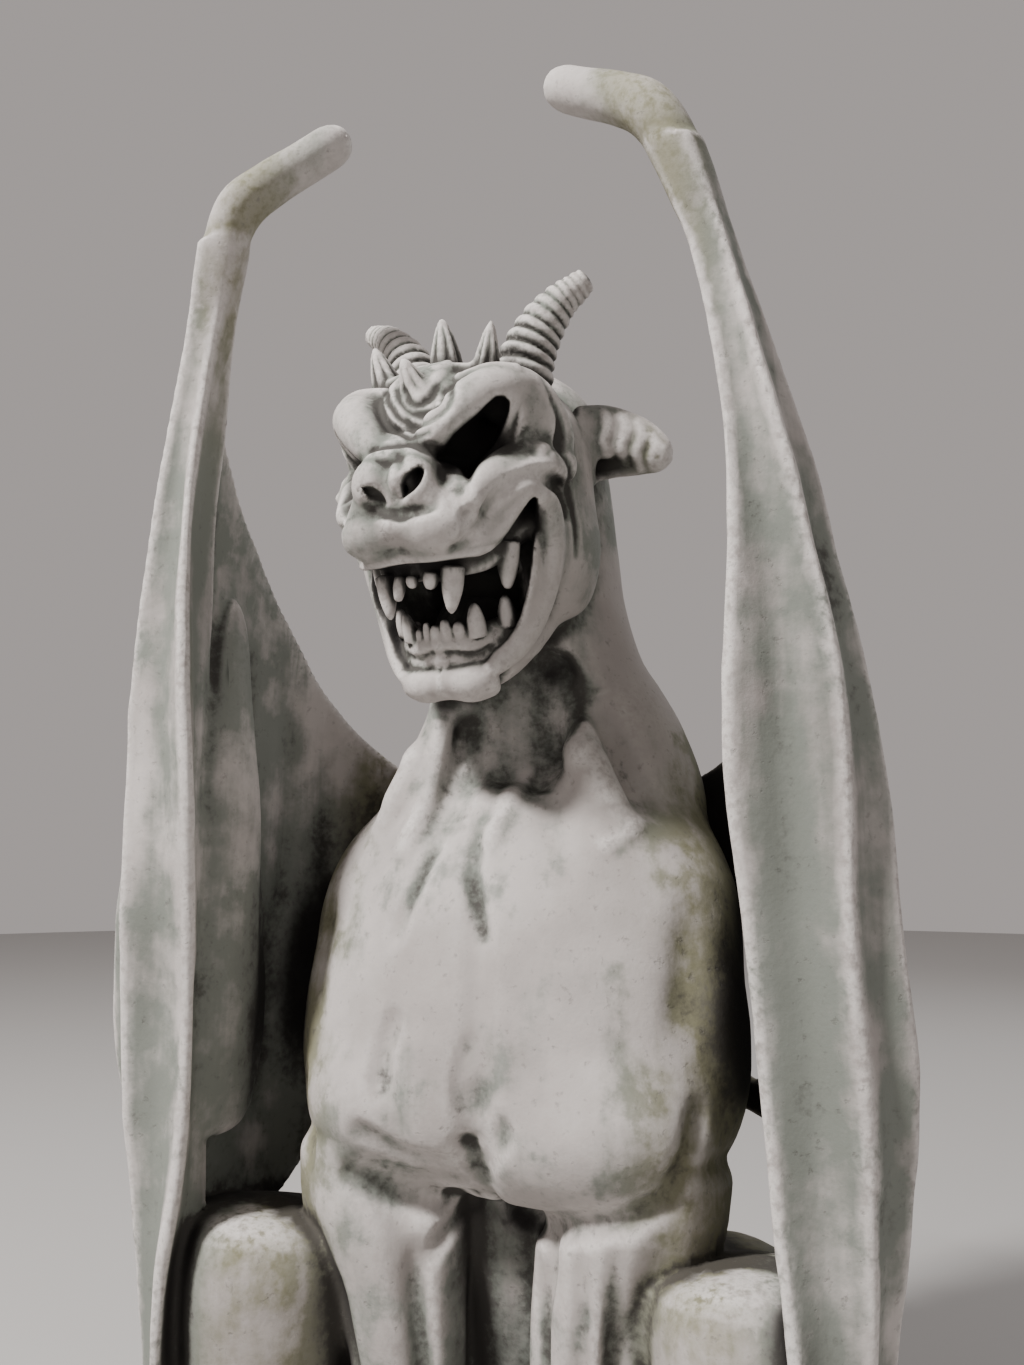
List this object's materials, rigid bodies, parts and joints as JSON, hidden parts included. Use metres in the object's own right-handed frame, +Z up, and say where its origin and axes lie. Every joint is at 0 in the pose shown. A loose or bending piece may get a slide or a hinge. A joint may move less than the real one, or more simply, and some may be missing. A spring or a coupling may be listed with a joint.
{
  "type": "stone gargoyle statue",
  "caption": "Seated winged gargoyle in cast stone, with a horned, open-mouthed head and tall folded wings, on a low base cast in one with it.",
  "frame": {"origin": "middle of the base's underside", "axes": "+Z up, the beast looks along -Y, its own left side is +X"},
  "size_m": [0.5, 0.38, 0.8993],
  "materials": {
    "stone": "weathered cast stone, matt and finely pitted, with a grey-green wash left in the recesses and pale, rubbed high spots"
  },
  "bodies": {
    "root": {"gargoyle": "stone"}
  },
  "joints": []
}
